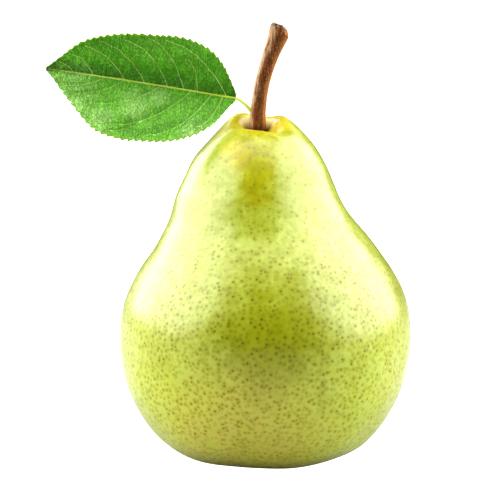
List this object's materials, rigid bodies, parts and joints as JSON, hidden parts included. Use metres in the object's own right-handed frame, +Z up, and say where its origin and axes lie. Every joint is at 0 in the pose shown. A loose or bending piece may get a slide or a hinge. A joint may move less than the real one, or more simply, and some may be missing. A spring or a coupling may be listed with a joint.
{
  "type": "pear",
  "caption": "Fresh pear standing on its blossom end, with a broad belly, a leaning neck, a curved woody stem and a serrated leaf on a thin stalk.",
  "frame": {"origin": "centre of the bottom of the object's box, on the surface that the pear stands on; the axis of the belly is 9 mm to +X of it, because the leaf reaches out to -X", "axes": "+Z up along the fruit's core, +X to the right as seen from the front, -Y the front, with the leaf on the -X side of the stem"},
  "size_m": [0.0932, 0.0752, 0.112],
  "materials": {
    "skin": "satin",
    "stem_wood": "matte",
    "leaf_green": "satin",
    "dried_calyx": "matte"
  },
  "bodies": {
    "root": {"fruit": "skin", "stem": "stem_wood", "leaf": "leaf_green", "calyx": "dried_calyx"}
  },
  "joints": []
}
